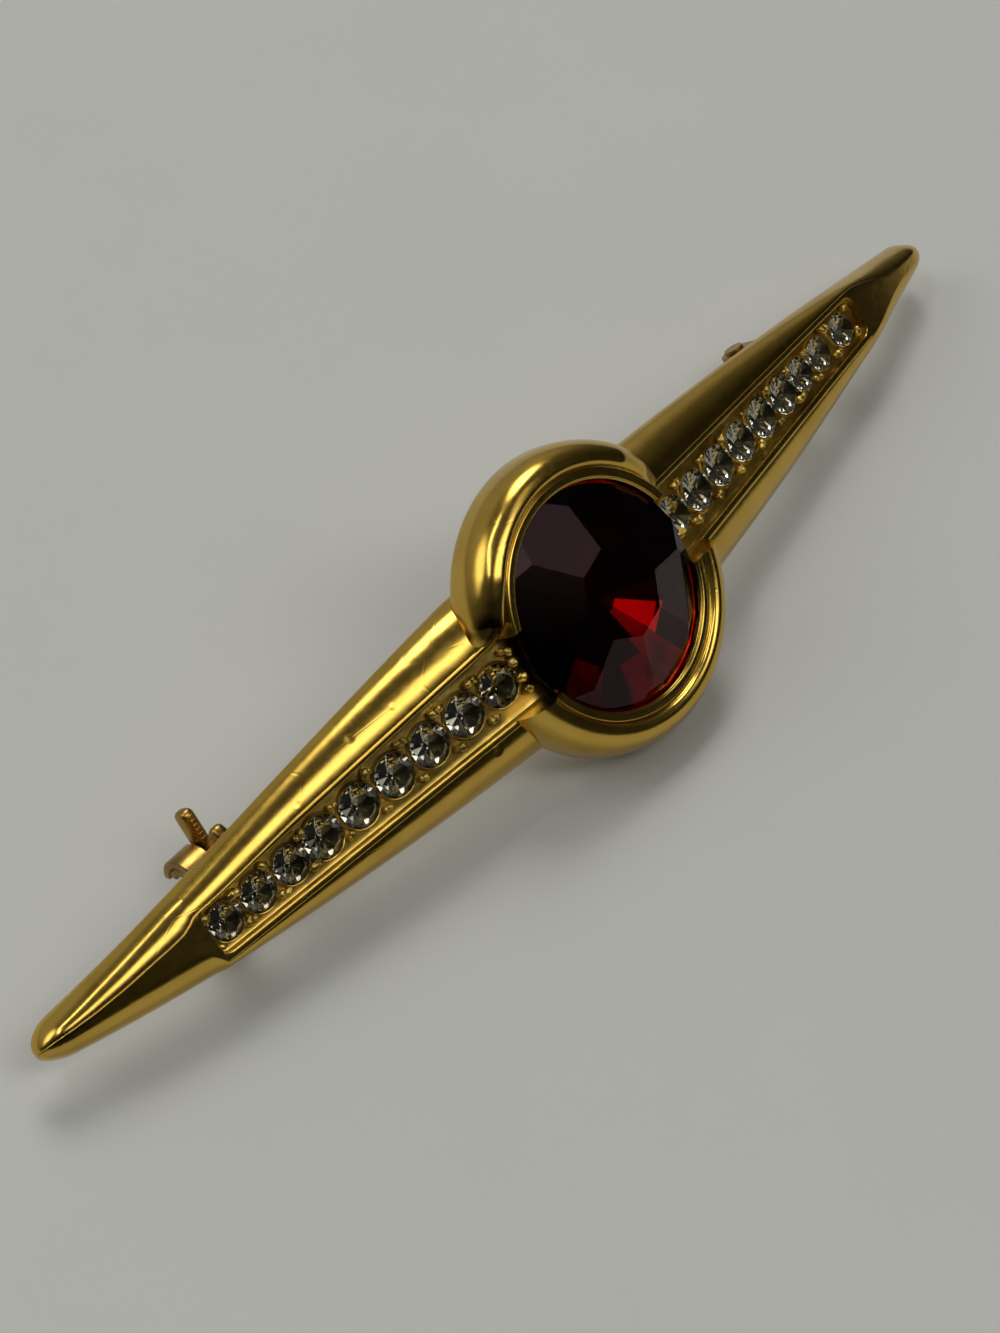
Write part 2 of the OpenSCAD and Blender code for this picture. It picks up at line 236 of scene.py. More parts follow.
def on_strip(s, column):
    for a, b in zip(NEAR_STRIP, NEAR_STRIP[1:]):
        if s <= b[0]:
            return a[column] + (b[column] - a[column]) * (s - a[0]) / (b[0] - a[0])
    return NEAR_STRIP[-1][column]


def flat_half(x, side):
    s, e = abs(x), channel_end(x)
    if s <= e:
        narrowed = 0.2 * ramp(s, 19, 26) if x < 0 and side > 0 else 0
        return channel_half(s) + RAIL_W - narrowed
    if x < 0:
        return (on_strip(s, 1) - on_strip(s, 2)) / 2
    return 0.69 * half_w(s) * (1 - 0.7 * ramp(s, e + 0.3, e + 5.5))


def flat_mid(x):
    s, e = abs(x), channel_end(x)
    if s <= e:
        return channel_mid(x)
    if x < 0:
        return (on_strip(s, 1) + on_strip(s, 2)) / 2
    return channel_mid(e) * (1 - ramp(s, e, e + 7))


print("the flat top's half width 30 mm out", [round(flat_half(x, 1), 2) for x in (-30, 30)])

# %% [markdown]
# ## The arms
# Each arm's rib starts in the middle of the channel's floor, climbs the wall, rounds over the
# flat rail, and falls along the curved flank to the back. The rail's edges are rounded by a few
# hundredths of a millimetre, because those roundings are what catches the light as fine bright
# lines. Past the channel the rib's floor rises to the flat top of the tip.

# %% One rib of an arm
ROUND_IN, ROUND_OUT, BACK_ROUND = 0.075, 0.06, 0.3
CHANNEL_CORNER, FOOT, TIP_ROUND = 0.5, 0.05, 1.5
# How far the flank starts below the rail's edge, on the upper and the lower side
UPPER_STEP, LOWER_STEP = 0.07, 0.012


def tip_scale(x):
    past = abs(x) - (FAR_LEN if x > 0 else NEAR_LEN) + TIP_ROUND
    return 1 if past <= 0 else math.sqrt(max(0, 1 - (0.985 * past / TIP_ROUND) ** 2))


def edge_step(x, side):
    s, e = abs(x), channel_end(x)
    if side < 0:
        return 0 if s > e else LOWER_STEP
    if s <= e:
        return UPPER_STEP
    return UPPER_STEP * (1 - (ramp(s, e, e + 5) if x > 0 else 0.3 * ramp(s, 31, 34.5)))


def half_rib(x, side):
    """The rib's points from the channel's middle round one side to the middle of the back."""
    s, e = abs(x), channel_end(x)
    closed = s > e
    top, edge, mid = top_z(s), flat_half(x, side), flat_mid(x)
    if closed:
        low, foot, r = top, 0, 0.02
        half = max(0.1, channel_half(e) - CHANNEL_CORNER - 0.15 * (s - e))
    else:
        low, foot, r = floor_z(s), FOOT, ROUND_IN
        half = channel_half(s)
        if s > e - CHANNEL_CORNER:
            rounded = math.sqrt(max(0, CHANNEL_CORNER ** 2 - (s - e + CHANNEL_CORNER) ** 2))
            half = channel_half(e) - CHANNEL_CORNER + rounded
    half = min(half, edge - 0.2)
    points = [(half * f, low) for f in (0, 0.3, 0.6, 0.85)]
    points += [(half - foot, low), (half - 0.3 * foot, low + 0.3 * foot), (half, low + foot)]
    if closed:
        points += [(half + 0.01 * k, top) for k in range(1, 7)]
    else:
        points += [(half, low + 0.25)]
        points += [(half + r * (1 - c), top - r + r * n) for n, c in turned(0, 22, 45, 67, 90)]
    points.append(((half + r + edge - ROUND_OUT) / 2, top))
    # The rail's outer rounding ends at 75 degrees, where 1 - cosine is 0.742
    step, rounding = edge_step(x, side), turned(0, 25, 50, 75)
    points += [(edge - ROUND_OUT + ROUND_OUT * n, top - step * (1 - c) / 0.742) for n, c in rounding]
    back, high, reach = top - thick(s), top - step, half_w(s) - side * mid
    flank = turned(3, 7, 12, 18, 25, 33, 42, 52, 62, 72, 80)
    points += [(edge + (reach - edge) * n, back + (high - back) * c) for n, c in flank]
    b = min(BACK_ROUND, 0.3 * (top - back))
    points += [(reach - b + b * c, back + b - b * n) for n, c in turned(20, 50, 80)]
    points += [(0.6 * reach, back), (0.25 * reach, back)]
    middle, k = back + thick(s) / 2, tip_scale(x)
    return [(x, bend(x) + k * (mid + side * y), middle + k * (z - middle)) for y, z in points]


def rib(x):
    right, left = half_rib(x, 1), half_rib(x, -1)
    return right + left[:0:-1]


print("points in a rib", len(rib(10)))

# %% Both arms, from under the lip to the tips
ARM_START = 5.2


def rib_places(e, length):
    """Distances of the ribs: close together round the channel's end and the tip."""
    places = [ARM_START + 0.4 * i for i in range(int((e - 0.6 - ARM_START) / 0.4) + 1)]
    places += [e - CHANNEL_CORNER + CHANNEL_CORNER * n for n, c in turned(0, 15, 30, 45, 60, 72, 82)]
    places += [e + past for past in (-0.004, 0, 0.012, 0.03, 0.06, 0.1, 0.16)]
    places += [e + 0.16 + 0.09 * i for i in range(1, 17)]
    start, stop = places[-1], length - TIP_ROUND
    places += [start + (stop - start) * i / 14 for i in range(1, 15)]
    places += [stop + TIP_ROUND * n for n, c in turned(*[7.5 * i for i in range(1, 13)])]
    return sorted(places)


arms = bmesh.new()
for side, e, length in ((1, FAR_END, FAR_LEN), (-1, NEAR_END, NEAR_LEN)):
    loft(arms, [rib(side * s) for s in rib_places(e, length)])
print("arm faces", len(arms.faces))

# %% [markdown]
# ## Stone pockets
# A setter drills a seat for each small stone into the channel's floor. A boolean with one short
# cylinder for each stone does the same.

# %% Drill the pockets
def on_floor(x, up=0.0):
    """Matrix that stands a shape on the channel's floor, square to it."""
    place = Matrix.Translation((x, channel_mid(x), floor_z(abs(x))))
    return place @ swept(x) @ Matrix.Translation((0, 0, up))


def drills():
    bm = bmesh.new()
    for side in (-1, 1):
        for s, r in stones(side):
            bmesh.ops.create_cone(
                bm, cap_ends=True, segments=40, radius1=r - 0.02, radius2=r - 0.02, depth=0.84,
                matrix=on_floor(side * s, -0.32))
    return bm


arms = cut_away(arms, drills())
print("arm faces with pockets", len(arms.faces))

# %% [markdown]
# ## The collar
# The collar is a turned shape: one outline spun round the stone's axis. The outline runs from the
# back over the dome, into the fine groove beside the lip, over the lip's double bead, and down
# into the seat and the hollow behind the stone.

# %% The collar's outline
def arc(cx, cz, rx, rz, start, stop, count):
    steps = [start + (stop - start) * i / (count - 1) for i in range(count)]
    return [(cx + rx * c, cz + rz * n) for n, c in turned(*steps)]


collar_outline = [(0.0, -3.1), (3.5, -3.1), (6.6, -3.1)]
# The dome
collar_outline += arc(7.12, -2.3, 0.8, 0.8, -90, 0, 9)
collar_outline += arc(6.75, -1.7, 1.17, 1.9, 0, 90, 22)
# The groove beside the lip
collar_outline += [(6.64, 0.188), (6.55, 0.15), (6.48, 0.085), (6.43, 0.01), (6.40, -0.05)]
collar_outline += [(6.375, -0.065), (6.35, -0.05)]
# The lip's two beads
collar_outline += arc(6.2, -0.12, 0.14, 0.13, 25, 100, 8)
collar_outline += [(6.1, -0.005), (6.04, -0.008)]
collar_outline += arc(5.93, -0.1, 0.1, 0.1, 80, 170, 8)
# The lip's inner wall, the stone's seat and the hollow behind it
collar_outline += [(5.8, -0.1), (5.77, -0.13), (5.75, -0.2), (5.75, -0.32), (5.85, -0.4), (6.0, -0.5)]
collar_outline += [(6.02, -0.75), (5.6, -0.77), (5.55, -0.87), (0.9, -2.57), (0.0, -2.57)]
print("points in the collar's outline", len(collar_outline))

# %% Spin the outline
def lathe(points, steps):
    """Spins an outline of (radius, height) points round the Z axis."""
    bm = bmesh.new()
    verts = [bm.verts.new((r, 0, z)) for r, z in points]
    edges = [bm.edges.new(pair) for pair in zip(verts, verts[1:])]
    bmesh.ops.spin(
        bm, geom=verts + edges, cent=(0, 0, 0), axis=(0, 0, 1), angle=2 * math.pi, steps=steps,
        use_merge=True)
    bmesh.ops.remove_doubles(bm, verts=bm.verts, dist=0.0005)
    return bm


# Two curves may end in the same point, which is then kept once
collar_points = collar_outline[:1]
for point in collar_outline[1:]:
    if math.dist(collar_points[-1], point) > 0.004:
        collar_points.append(point)
collar = lathe(collar_points, 192)
print("collar faces", len(collar.faces))

# %% [markdown]
# ## Where the channels break the collar
# On the upper side the dome bends down to the arm before it ends: its points sink more and more
# towards the arm, while the lip stays level. The channels run through the collar to the stone,
# so the dome and its lip stop at each side of them.

# %% Bend the dome's ends down
# How far the dome has sunk, as (degrees from the arm's middle line, mm)
NEAR_DROP = ((15, 1.7), (22.5, 0.42), (33.75, 0.12), (41.25, 0))
FAR_DROP = ((16, 1.6), (30, 0.45), (45, 0))
LIP_R, GROOVE_W = 6.36, 0.07
# The sinking fades out towards the back
FADE_FROM, FADE_OVER = -2.6, 2.7


def end_drop(angle, far):
    steps = FAR_DROP if far else NEAR_DROP
    for a, b in zip(steps, steps[1:]):
        if angle < b[0]:
            return a[1] + (b[1] - a[1]) * max(0, angle - a[0]) / (b[0] - a[0])
    return 0


sunk = 0
for v in collar.verts:
    reach = math.hypot(v.co.x, v.co.y)
    if v.co.y > 0 and reach > LIP_R:
        drop = end_drop(math.degrees(math.atan2(v.co.y, abs(v.co.x))), v.co.x > 0)
        share = min(1, max(0, (v.co.z - FADE_FROM) / FADE_OVER))
        v.co.z -= drop * min(1, (reach - LIP_R) / GROOVE_W) * share
        sunk += drop > 0
print("points of the dome that sank", sunk)

# %% Cut the channels and the pockets through the collar
for side in (1, -1):
    sections = []
    for s in (3.0, 9.0):
        x, half = side * s, channel_half(s) + 0.012
        low = floor_z(s) - 0.02
        near, far = channel_mid(x) - half, channel_mid(x) + half
        sections.append([(x, near, low), (x, far, low), (x, far, low + 4), (x, near, low + 4)])
    slot = bmesh.new()
    loft(slot, sections)
    collar = cut_away(collar, slot)
collar = cut_away(collar, drills())
print("collar faces after the cuts", len(collar.faces))

# %% [markdown]
# ## Settings for the small stones
# Each small stone stands in a thin raised rim, and small beads of metal, raised from the floor
# with a graver, are pushed over its edge. No two beads are quite alike, so each gets its own
# size and lean from a seeded random generator, and a noise makes it lumpy. Blender's noise
# vectors start from a random place in each run, unless they are given a seed as well.

# %% Rims and beads
settings = bmesh.new()
chance = random.Random(7)
noise.seed_set(7)


def rim(r):
    points = [(r + 0.15, -0.02), (r + 0.1, 0.1), (r + 0.05, 0.15), (r + 0.015, 0.14)]
    return lathe(points + [(r - 0.005, 0.06), (r - 0.02, -0.1)], 40)


def bead(x, y, size, stretch, turn, up):
    place = on_floor(x, up) @ Matrix.Translation((0, y, 0)) @ Matrix.Rotation(turn, 4, "Z")
    place = place @ Matrix.Diagonal((size * stretch, size, size * 1.05, 1))
    made = bmesh.ops.create_icosphere(settings, subdivisions=3, radius=1, matrix=place)
    for v in made["verts"]:
        v.co += 0.05 * noise.noise_vector(v.co * 5) + 0.02 * noise.noise_vector(v.co * 14)


for side in (-1, 1):
    row = stones(side)
    for i, (s, r) in enumerate(row):
        ring = rim(r)
        room = channel_half(s) - 0.01
        for v in ring.verts:
            v.co.z += 0.05 * noise.noise(Vector((v.co.x * 2, v.co.y * 2, 3.1 * i + side)))
            v.co.y = max(-room, min(room, v.co.y))
        join_in(settings, ring, on_floor(side * s))
    between = [row[0][0] - 1.15] + [(a[0] + b[0]) / 2 for a, b in zip(row, row[1:])] + [row[-1][0] + 1.02]
    for s in between:
        spread = 0.62 * channel_half(s)
        for y in (-1, 1):
            for k in (-1, 1):
                size = chance.uniform(0.13, 0.26)
                bead(
                    side * (s + 0.14 * k + chance.uniform(-0.06, 0.06)),
                    y * (spread + chance.uniform(-0.05, 0.1)), size, chance.uniform(1.0, 1.5),
                    chance.uniform(-0.8, 0.8), chance.uniform(0.16, 0.26))
print("faces of rims and beads", len(settings.faces))

# %% Lumps of metal at the large stone's edge
for side in (-1, 1):
    for y in (-0.95, -0.25, 0.45, 1.15):
        bead(
            side * (5.98 + chance.uniform(-0.1, 0.1)), y + chance.uniform(-0.12, 0.12),
            chance.uniform(0.22, 0.32), chance.uniform(0.8, 1.3), chance.uniform(-0.8, 0.8),
            chance.uniform(0.3, 0.62))
print("setting faces", len(settings.faces))

# %% [markdown]
# ## Foil behind the small stones
# Paste stones like these are backed with foil, a thin mirror that throws the light back out
# through the facets. Each foil is a shallow cone of flat facets just behind its stone, with a
# narrow facet at each of eight directions and a wider one between them.

# %% Foil cones
# Height of the foil's edge over the floor, its gap to the stone's, and its depth for a radius of 1
FOIL_UP, FOIL_GAP, FOIL_DEPTH = 0.128, 0.006, 0.56


def foil_cone(bm, place, r):
    angles = []
    for k in range(8):
        angles += [45 * k + 12.5, 45 * k + 32.5]
    edge = r - FOIL_GAP
    ring = [bm.verts.new((edge * c, edge * n, 0)) for n, c in turned(*angles)]
    tip = bm.verts.new((0, 0, -FOIL_DEPTH * r))
    for a, b in zip(ring, ring[1:] + ring[:1]):
        bm.faces.new((a, b, tip))
    bmesh.ops.transform(bm, matrix=place, verts=ring + [tip])


small_foils = bmesh.new()
for side in (-1, 1):
    for s, r in stones(side):
        foil_cone(small_foils, on_floor(side * s, FOIL_UP), r)
print("foil facets", len(small_foils.faces))

# %% [markdown]
# ## The large stone
# The large stone keeps the facets of its solid, with the crown cut a little lower. Its foil is
# laid on the glass itself, so the foil is a finish of the back facets. Most back facets get a
# near black foil, which is painted shade; a few get a bright red foil, a painted flash, and some
# a dim red one, painted glints, set facet by facet so that the one red flash shows.

# %% Lower the crown and cut the back into rings
GIRDLE, GIRDLE_THICK, BACK_DEEP, STONE_R = -0.5, 0.22, 1.7, 5.95
CROWN_SCALE = 0.82
red_stone = bmesh.new()
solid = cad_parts["centre_stone"]
red_stone.from_mesh(solid.data)
bmesh.ops.transform(red_stone, matrix=LAID.inverted() @ solid.matrix_world, verts=red_stone.verts)
bmesh.ops.remove_doubles(red_stone, verts=red_stone.verts, dist=WELD)
for v in red_stone.verts:
    if v.co.z > GIRDLE + 0.01:
        v.co.z = GIRDLE + CROWN_SCALE * (v.co.z - GIRDLE)
INNER_RING, OUTER_RING = 1.0, 3.3
for reach in (INNER_RING, OUTER_RING):
    height = GIRDLE - GIRDLE_THICK - BACK_DEEP * (1 - reach / STONE_R)
    bmesh.ops.bisect_plane(
        red_stone, geom=red_stone.verts[:] + red_stone.edges[:] + red_stone.faces[:], dist=0.0001,
        plane_co=(0, 0, height), plane_no=(0, 0, 1))
print("large stone's facets", len(red_stone.faces))

# %% Mark the foils of painted shade, flash and glints
# Places in the large stone's list of finishes; the first is the bare glass
SHADE_PAINTED, FLASH_PAINTED, GLINT_PAINTED = 1, 2, 3
# A reach past the stone's edge
OUTSIDE = 6
# Each facet with a painted flash or glint, as (direction in degrees, inner reach, outer reach, finish)
PAINTED_FLASHES = (
    (307.5, INNER_RING, OUTER_RING, FLASH_PAINTED), (285, INNER_RING, OUTER_RING, GLINT_PAINTED),
    (285, OUTER_RING, OUTSIDE, GLINT_PAINTED), (262.5, OUTER_RING, OUTSIDE, GLINT_PAINTED),
    (217.5, OUTER_RING, OUTSIDE, GLINT_PAINTED))
foil_marks = {}
for face in red_stone.faces:
    at = face.calc_center_median()
    if face.normal.z > 0.2:
        continue
    around, reach = math.degrees(math.atan2(at.y, at.x)) % 360, math.hypot(at.x, at.y)
    # Every other back facet gets the near black foil, a painted shade
    face.material_index = SHADE_PAINTED
    for centre, low, high, finish in PAINTED_FLASHES:
        if abs(around - centre) < 9 and low < reach < high:
            face.material_index = finish
    foil_marks[face.material_index] = foil_marks.get(face.material_index, 0) + 1
print("back facets by finish", foil_marks)

# %% [markdown]
# ## Catch and hinge
# Behind the bar a slotted ring on a post holds the pin's end, and two ears hold the hinge's
# rivet. Both stand on round pads that are soldered to the back. Edges are bevelled a little, as
# on small stamped parts.

# %% Rings, blocks and pads
FITTING_X, PIN_Y, PIN_Z = 22.6, 0.7, -9.7
BACK_Z = top_z(FITTING_X) - thick(FITTING_X)
SLOT_W, RING_EDGE = 1.0, 0.07


def slotted_ring(outer, inner, length):
    """A ring round the X axis with its slot at the bottom, and softly rounded edges."""
    bm = bmesh.new()
    open_half = math.asin(SLOT_W / 2 / ((outer + inner) / 2))
    end, e = length / 2, RING_EDGE
    outline = [(inner, e - end), (inner + e, -end), (outer - e, -end), (outer, e - end)]
    outline += [(outer, end - e), (outer - e, end), (inner + e, end), (inner, end - e)]
    verts = [bm.verts.new((x, 0, -r)) for r, x in outline]
    face = bm.faces.new(verts)
    bmesh.ops.rotate(bm, verts=verts, cent=(0, 0, 0), matrix=Matrix.Rotation(open_half, 3, "X"))
    bmesh.ops.spin(
        bm, geom=[face], cent=(0, 0, 0), axis=(1, 0, 0), angle=2 * math.pi - 2 * open_half, steps=44,
        use_duplicate=False)
    return bm


def soften(bm, edges, width, segments=3):
    bmesh.ops.bevel(
        bm, geom=edges, offset=width, affect="EDGES", segments=segments, profile=0.5, material=-1)


def block(bm, low, high, bevel=0.06):
    low, high = Vector(low), Vector(high)
    place = Matrix.Translation((low + high) / 2) @ Matrix.Diagonal((*(high - low), 1))
    made = bmesh.ops.create_cube(bm, size=1, matrix=place)
    soften(bm, list(dict.fromkeys(e for v in made["verts"] for e in v.link_edges)), bevel)


def pad(x):
    bm = bmesh.new()
    bmesh.ops.create_cone(
        bm, cap_ends=True, segments=64, radius1=1.7, radius2=1.7, depth=0.9,
        matrix=Matrix.Translation((0, 0.42, 0)))
    soften(bm, [e for e in bm.edges if len({round(v.co.z, 3) for v in e.verts}) == 1], 0.1)
    join_in(fittings, bm, Matrix.Translation((x, 0, BACK_Z)) @ swept(x))


fittings = bmesh.new()
catch_place = Matrix.Translation((-FITTING_X, PIN_Y, PIN_Z))
join_in(fittings, slotted_ring(1.4, 0.97, 1.5), catch_place)
block(
    fittings, (-FITTING_X - 0.75, PIN_Y - 0.65, PIN_Z + 1.08),
    (-FITTING_X + 0.75, PIN_Y + 0.65, BACK_Z + 0.4))
pad(-FITTING_X)
pad(FITTING_X)
print("catch and pad faces", len(fittings.faces))

# %% The hinge's ears
EAR_R, EAR_W, EAR_GAP, RIVET_HOLE_R = 0.8426, 0.55, 0.58, 0.41
for side in (-1, 1):
    y = PIN_Y + side * (EAR_GAP + EAR_W / 2)
    ear = bmesh.new()
    outline = [(EAR_R, BACK_Z + 0.4)]
    outline += [(EAR_R * c, PIN_Z + EAR_R * n) for n, c in turned(*range(0, -181, -12))]
    outline += [(-EAR_R, BACK_Z + 0.4)]
    face = ear.faces.new([ear.verts.new((x, y - EAR_W / 2, z)) for x, z in outline])
    grown = bmesh.ops.extrude_face_region(ear, geom=[face])["geom"]
    grown_verts = [g for g in grown if isinstance(g, bmesh.types.BMVert)]
    bmesh.ops.translate(ear, verts=grown_verts, vec=(0, EAR_W, 0))
    soften(ear, [e for e in ear.edges if abs(e.verts[0].co.y - e.verts[1].co.y) < 1e-6], 0.05, segments=2)
    hole = bmesh.new()
    bmesh.ops.create_cone(
        hole, cap_ends=True, segments=40, radius1=RIVET_HOLE_R, radius2=RIVET_HOLE_R, depth=2,
        matrix=Matrix.Translation((0, y, PIN_Z)) @ Matrix.Rotation(math.pi / 2, 4, "X"))
    join_in(fittings, cut_away(ear, hole), Matrix.Translation((FITTING_X, 0, 0)))
print("fitting faces", len(fittings.faces))

# %% [markdown]
# ## The catch's lever
# A slotted sleeve turns in the ring. Its fork ends in two prongs for the thumb, with fine ribs
# across them so that the thumb doesn't slip.

# %% Sleeve and prongs
PRONG_LOW, PRONG_HIGH = (0.85, 0.72, -0.475), (1.65, 3.0, 0.475)
RIB_COUNT, FIRST_RIB, RIB_STEP = 6, 1.35, 0.26
lever = bmesh.new()
join_in(lever, slotted_ring(0.92, 0.5, 2.4), Matrix.Translation((0.45, 0, 0)))
for side in (-1, 1):
    prong = bmesh.new()
    block(prong, PRONG_LOW, PRONG_HIGH, bevel=0.3)
    for k in range(RIB_COUNT):
        at = FIRST_RIB + RIB_STEP * k
        for z in (PRONG_LOW[2], PRONG_HIGH[2]):
            block(prong, (1.1, at - 0.06, z - 0.035), (1.4, at + 0.06, z + 0.035), bevel=0.03)
    join_in(lever, prong, Matrix.Rotation(math.radians(31 + 26 * side), 4, "X"))
bmesh.ops.transform(lever, matrix=catch_place, verts=lever.verts)
print("lever faces", len(lever.faces))

# %% [markdown]
# ## Helpers for node trees
# Materials are wired from the same few nodes over and over. Each helper places one kind of node,
# sets its values or links its sockets, and hands back the output that is used.

# %% Nodes that are used often
def node_in(tree, kind, place, **values):
    node = tree.nodes.new(kind)
    node.location = place
    for key, value in values.items():
        setattr(node, key, value)
    return node


def feed(tree, value, socket):
    """Links an output into a socket, or sets the socket to a plain value."""
    if isinstance(value, bpy.types.NodeSocket):
        tree.links.new(value, socket)
    else:
        socket.default_value = value


def noise_in(tree, where, place, scale, detail, **values):
    node = node_in(tree, "ShaderNodeTexNoise", place, **values)
    node.inputs["Scale"].default_value = scale
    node.inputs["Detail"].default_value = detail
    tree.links.new(where, node.inputs["Vector"])
    return node.outputs["Fac"]


def spread_in(tree, value, place, start, stop, low=0, high=1, **values):
    """Spreads the values from start to stop out over low to high."""
    node = node_in(tree, "ShaderNodeMapRange", place, **values)
    for name, number in (("From Min", start), ("From Max", stop), ("To Min", low), ("To Max", high)):
        node.inputs[name].default_value = number
    tree.links.new(value, node.inputs["Value"])
    return node.outputs[0]


def maths_in(tree, operation, a, b, place, **values):
    node = node_in(tree, "ShaderNodeMath", place, operation=operation, **values)
    feed(tree, a, node.inputs[0])
    feed(tree, b, node.inputs[1])
    return node.outputs[0]


def mix_in(tree, amount, first, second, place):
    """Mixes two colours."""
    node = node_in(tree, "ShaderNodeMix", place, data_type="RGBA")
    for value, socket in zip((amount, first, second), (node.inputs[0], node.inputs[6], node.inputs[7])):
        feed(tree, value, socket)
    return node.outputs[2]


def spot_in(tree, where, at, place, start, stop, low):
    """A value that is low near a place in the drawing, and zero past stop mm from it."""
    away = node_in(tree, "ShaderNodeVectorMath", place, operation="DISTANCE")
    away.inputs[1].default_value = LAID @ Vector(at)
    tree.links.new(where, away.inputs[0])
    return spread_in(
        tree, away.outputs["Value"], (place[0] + 200, place[1]), start / 1000, stop / 1000, low, 0,
        interpolation_type="SMOOTHSTEP")


def bump_in(tree, height, strength, distance, place, normal=None):
    node = node_in(tree, "ShaderNodeBump", place)
    node.inputs["Distance"].default_value = distance
    tree.links.new(height, node.inputs["Height"])
    tree.links.new(strength, node.inputs["Strength"])
    if normal:
        tree.links.new(normal, node.inputs["Normal"])
    return node.outputs[0]


# %% [markdown]
# ## Shared finish: handling wear and a painted shade
# Every metal surface here has been handled, so one shader group makes their wear: soft blotches
# in the colour, hazy patches in the polish, fine random scratches and a shallow bump. A few
# knocks and a patch of wrinkled plating by the collar have places of their own, and so has a
# black spot of painted shade in the corner where the dome comes down to the arm. The group puts
# out only a colour, a roughness and a normal, and each material gives it its own amounts.

# %% The wear group, with a painted shade
# Dents, as (place in the drawing, size in mm, depth)
KNOCKS = (
    ((-15.1, 2.85, -2.9), 0.4, 0.3), ((-12.5, 2.6, -2.5), 0.25, 0.15), ((-19.2, 2.0, -3.4), 0.25, 0.12),
    ((-9.3, -2.5, -1.85), 0.35, 0.25))
WRINKLES_AT = (-8.3, 2.9, -1.7)
# A black spot is painted in the corner where the dome comes down to the arm: painted shade for the dark
# that the gold mirrors there
SHADE_SPOT_AT, SHADE_SPOT_COLOUR = (-6.85, 2.65, -0.5), (0.02, 0.012, 0.003, 1)


def wear_group():
    group = bpy.data.node_groups.new("handling_wear_and_shade", "ShaderNodeTree")
    face = group.interface
    for name, default in (("Colour", (0.8, 0.6, 0.2, 1)), ("Worn colour", (0.5, 0.3, 0.1, 1))):
        face.new_socket(name=name, in_out="INPUT", socket_type="NodeSocketColor").default_value = default
    for name, default in (
            ("Worn amount", 0.3), ("Roughness", 0.12), ("Haze", 0.15), ("Ripple", 0.1), ("Scratches", 0.1),
            ("Knocks", 0.0), ("Painted shade", 0.0)):
        face.new_socket(name=name, in_out="INPUT", socket_type="NodeSocketFloat").default_value = default
    for name, kind in (("Colour", "Color"), ("Roughness", "Float"), ("Normal", "Vector")):
        face.new_socket(name=name, in_out="OUTPUT", socket_type="NodeSocket" + kind)
    return group


def worn_colour_and_shade(group, where, given):
    shade = spread_in(group, noise_in(group, where, (-600, 200), 420, 5), (-400, 200), 0.42, 0.72)
    worn = maths_in(group, "MULTIPLY", shade, given["Worn amount"], (-200, 200))
    colour = mix_in(group, worn, given["Colour"], given["Worn colour"], (0, 200))
    # Painted shade: the colour turns black round that corner, as strongly as each material asks
    shade_spot = spot_in(group, where, SHADE_SPOT_AT, (0, 500), 0.5, 1.1, 1)
    amount = maths_in(group, "MULTIPLY", shade_spot, given["Painted shade"], (400, 500))
    return mix_in(group, amount, colour, SHADE_SPOT_COLOUR, (600, 200))


def worn_polish(group, where, given):
    fine = noise_in(group, where, (-600, -50), 2600, 3)
    haze = maths_in(group, "MULTIPLY", fine, given["Haze"], (-200, -50))
    return maths_in(group, "ADD", haze, given["Roughness"], (0, -50), use_clamp=True)


def scratch_lines(group, where):
    stretch = node_in(group, "ShaderNodeMapping", (-750, -550))
    stretch.inputs["Scale"].default_value = (0.35, 1, 1)
    stretch.inputs["Rotation"].default_value = (0.4, 0.3, 0.7)
    lines = node_in(group, "ShaderNodeTexVoronoi", (-600, -550), feature="DISTANCE_TO_EDGE")
    lines.inputs["Scale"].default_value = 330
    group.links.new(where, stretch.inputs["Vector"])
    group.links.new(stretch.outputs[0], lines.inputs["Vector"])
    return spread_in(group, lines.outputs[0], (-400, -550), 0, 0.012)


def knocks_and_wrinkles(group, where):
    height = None
    for k, (at, size, depth) in enumerate(KNOCKS):
        row = -800 - 200 * k
        pit = spot_in(group, where, at, (-600, row), 0, size, -depth)
        height = maths_in(group, "ADD", height, pit, (-200, row)) if height else pit
    creased = noise_in(group, where, (-600, -1800), 500, 3, noise_type="RIDGED_MULTIFRACTAL")
    zone = spot_in(group, where, WRINKLES_AT, (-600, -2000), 1, 4.5, 0.6)
    local = maths_in(group, "MULTIPLY", creased, zone, (-200, -1900))
    return maths_in(group, "ADD", height, local, (0, -1500))


def handling_wear_and_shade():
    group = wear_group()
    where = node_in(group, "ShaderNodeTexCoord", (-900, -300)).outputs["Object"]
    given = node_in(group, "NodeGroupInput", (-900, 0)).outputs
    put = node_in(group, "NodeGroupOutput", (900, 0)).inputs
    ripple = noise_in(group, where, (-600, -300), 700, 5)
    normal = bump_in(group, ripple, given["Ripple"], 0.00006, (200, -300))
    lines = scratch_lines(group, where)
    normal = bump_in(group, lines, given["Scratches"], 0.000008, (450, -400), normal)
    knocks = knocks_and_wrinkles(group, where)
    normal = bump_in(group, knocks, given["Knocks"], 0.0001, (650, -500), normal)
    group.links.new(worn_colour_and_shade(group, where, given), put["Colour"])
    group.links.new(worn_polish(group, where, given), put["Roughness"])
    group.links.new(normal, put["Normal"])
    return group


WEAR_AND_SHADE = handling_wear_and_shade()
print("wear group sockets", [i.name for i in WEAR_AND_SHADE.interface.items_tree])
